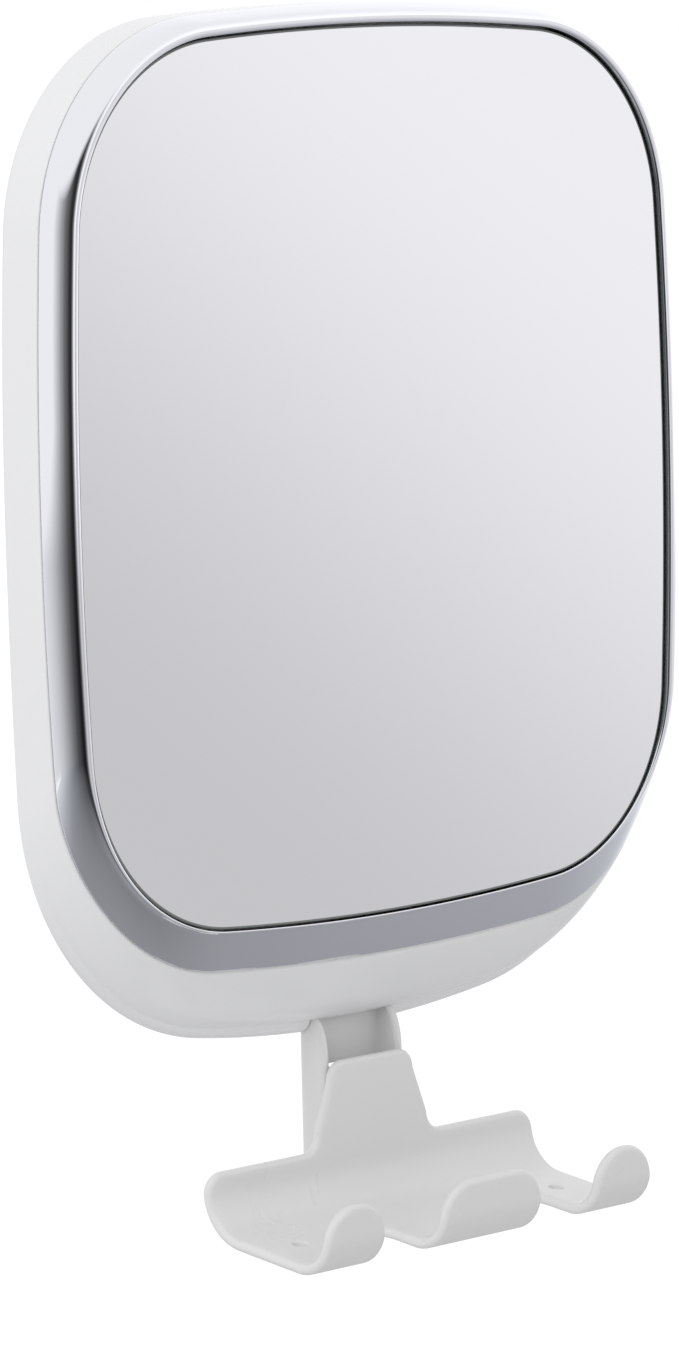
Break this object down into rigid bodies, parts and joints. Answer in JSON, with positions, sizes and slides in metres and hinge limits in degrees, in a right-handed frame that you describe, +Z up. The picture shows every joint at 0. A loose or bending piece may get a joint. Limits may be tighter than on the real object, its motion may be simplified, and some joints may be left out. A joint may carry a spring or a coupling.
{
  "type": "shower mirror",
  "caption": "Fogless shower mirror in a chrome bezel on a white housing, with a ball-jointed twist-lock suction mount behind it and a lift-off three-finger razor trough below.",
  "frame": {"origin": "centre of the suction cup's wall face, on the line of the ball joint and the pane's centre", "axes": "+X to the viewer's right, +Y into the wall, +Z up; the pane faces -Y"},
  "size_m": [0.1794, 0.0896, 0.2477],
  "materials": {
    "mirror_pane": "silvered, anti-fog coated",
    "tape_foam": "matt",
    "chrome": "polished",
    "gloss_white": "gloss",
    "satin_white": "satin",
    "steel": "satin",
    "nylon": "matt",
    "cup_rubber": "smooth"
  },
  "bodies": {
    "wall_mount": {"suction_cup": "cup_rubber", "cup_stud": "steel", "ball_post": "steel"},
    "mount_shell": {"mount_shell": "gloss_white", "thrust_washer": "nylon"},
    "lock_ring": {"lock_ring": "satin_white"},
    "ball_liner": {"ball_liner": "nylon"},
    "socket_bush": {"socket_bush": "nylon"},
    "head": {"mirror_pane": "mirror_pane", "pane_tape": "tape_foam", "chrome_bezel": "chrome", "head_shell": "gloss_white", "rear_cover": "gloss_white", "cover_screw_1": "steel", "cover_screw_2": "steel", "cover_screw_3": "steel", "cover_screw_4": "steel", "hanger_bracket": "satin_white", "bracket_screw_left": "steel", "bracket_screw_right": "steel", "socket_base": "satin_white", "socket_ring": "satin_white", "socket_screw_1": "steel", "socket_screw_2": "steel", "socket_screw_3": "steel"},
    "razor_holder": {"razor_holder": "satin_white"}
  },
  "joints": [
    {"name": "shell_slide", "type": "slide", "parent": "wall_mount", "child": "mount_shell", "axis": [0, -1, 0], "range_m": [0, 0.002]},
    {"name": "lock_ring_turn", "type": "hinge", "parent": "mount_shell", "child": "lock_ring", "pos_m": [0, -0.0142, 0], "axis": [0, -1, 0], "range_deg": [0, 180]},
    {"name": "head_pan", "type": "hinge", "parent": "wall_mount", "child": "ball_liner", "pos_m": [0, -0.041, 0], "axis": [0, 0, 1], "range_deg": [-15, 15]},
    {"name": "head_tilt", "type": "hinge", "parent": "ball_liner", "child": "socket_bush", "pos_m": [0, -0.041, 0], "axis": [1, 0, 0], "range_deg": [-15, 15]},
    {"name": "head_spin", "type": "hinge", "parent": "socket_bush", "child": "head", "pos_m": [0, -0.041, 0], "axis": [0, -1, 0], "continuous": true},
    {"name": "holder_lift", "type": "slide", "parent": "head", "child": "razor_holder", "axis": [0, 0, 1], "range_m": [0, 0.0052]}
  ],
  "couplings": [
    {"joint": "lock_ring_turn", "follows": "shell_slide", "rad_per_m": 1570.8}
  ]
}
